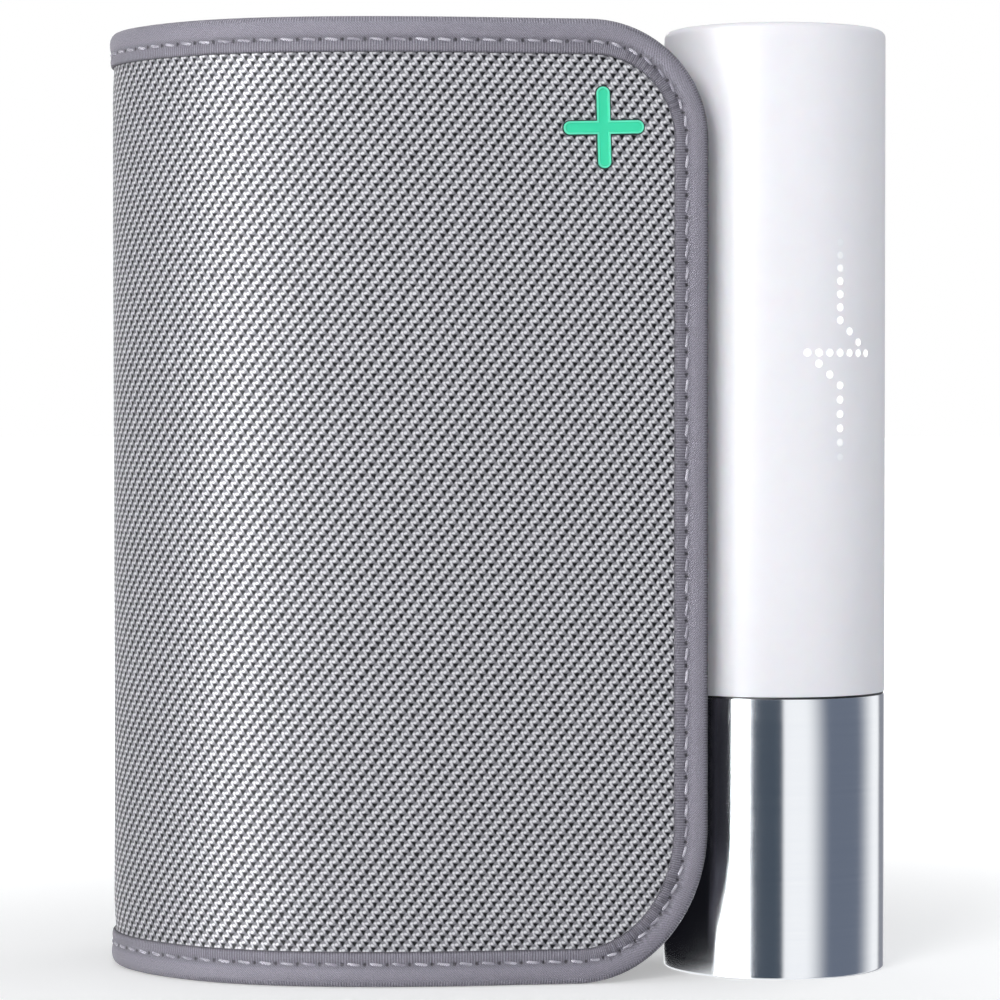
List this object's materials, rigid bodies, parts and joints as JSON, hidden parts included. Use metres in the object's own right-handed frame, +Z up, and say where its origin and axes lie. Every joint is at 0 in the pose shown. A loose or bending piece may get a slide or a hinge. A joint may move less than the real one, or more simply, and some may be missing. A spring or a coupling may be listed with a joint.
{
  "type": "arm cuff health monitor",
  "caption": "Upright tube with a steel foot, dot display and top push button, joined by a saddle to a rolled padded arm cuff with a hook-and-loop flap.",
  "frame": {"origin": "on the tube's axis, at the bottom of its steel foot, on the surface that the part stands on", "axes": "+Z up along the tube, -Y to the front where the flap's face and the display look, cuff on the -X side"},
  "size_m": [0.1287, 0.0731, 0.155],
  "materials": {
    "white_plastic": "satin white moulded plastic",
    "steel": "brushed round the tube",
    "dark_ring": "matt dark gasket plastic",
    "dark_plastic": "fine matt texture",
    "bright_metal": "plated, lightly satin",
    "rubber_seal": "smooth black silicone",
    "circuit_board": "green solder mask",
    "chip": "moulded epoxy",
    "die": "phosphor coated",
    "dot_resin": "milky resin, lit warm white from behind",
    "copper_film": "amber flexible film",
    "cell_wrap": "shrink sleeve",
    "brass": "gold plated",
    "sensor_white": "matt",
    "button_plastic": "satin, fine texture",
    "outer_weave": "coarse twill of light yarn over a dark ground",
    "padding": "foam and felt",
    "bladder_film": "welded film",
    "liner": "smooth brushed tricot",
    "edge_tape": "ribbed binding tape",
    "loop": "brushed loop pile",
    "hook": "hook tape",
    "green_silicone": "satin moulded silicone",
    "membrane": "thin glossy film"
  },
  "bodies": {
    "monitor": {"tube_shell": "white_plastic", "steel_sleeve": "steel", "insulator_ring": "dark_ring", "top_cap": "white_plastic", "cap_seal": "rubber_seal", "charge_port": "bright_metal", "port_tongue": "chip", "chassis": "dark_plastic", "main_board": "circuit_board", "board_chips": "chip", "led_board": "circuit_board", "led_dies": "die", "light_block": "dark_plastic", "light_dots": "dot_resin", "display_ribbon": "copper_film", "battery_cell": "cell_wrap", "electrode_spring": "brass", "air_pump": "bright_metal", "air_manifold": "sensor_white", "release_valve": "bright_metal", "pressure_sensor": "sensor_white", "air_nipple": "dark_plastic", "nipple_seal": "rubber_seal", "button_board": "circuit_board", "button_switch": "chip", "tube_saddle": "dark_plastic", "saddle_screws": "bright_metal", "cuff_fabric": "outer_weave", "cuff_padding": "padding", "air_bladder": "bladder_film", "cuff_liner": "liner", "cuff_binding": "edge_tape", "loop_pad": "loop", "cuff_electrodes": "steel", "sensor_housing": "dark_plastic", "sensor_microphone": "brass", "sensor_membrane": "membrane", "sensor_ring": "steel"},
    "flap": {"flap_fabric": "outer_weave", "flap_padding": "padding", "flap_liner": "liner", "flap_binding": "edge_tape", "hook_pad": "hook", "plus_badge": "green_silicone"},
    "button": {"power_button": "button_plastic", "switch_plunger": "chip"}
  },
  "joints": [
    {"name": "flap_open", "type": "hinge", "parent": "monitor", "child": "flap", "pos_m": [-0.11035, 0.00363, 0.0775], "axis": [0, 0, -1], "range_deg": [0, 120]},
    {"name": "button_press", "type": "slide", "parent": "monitor", "child": "button", "axis": [0, 0, -1], "range_m": [0, 0.0005], "stiffness_N_per_m": 1200, "springref_m": -0.0008}
  ]
}
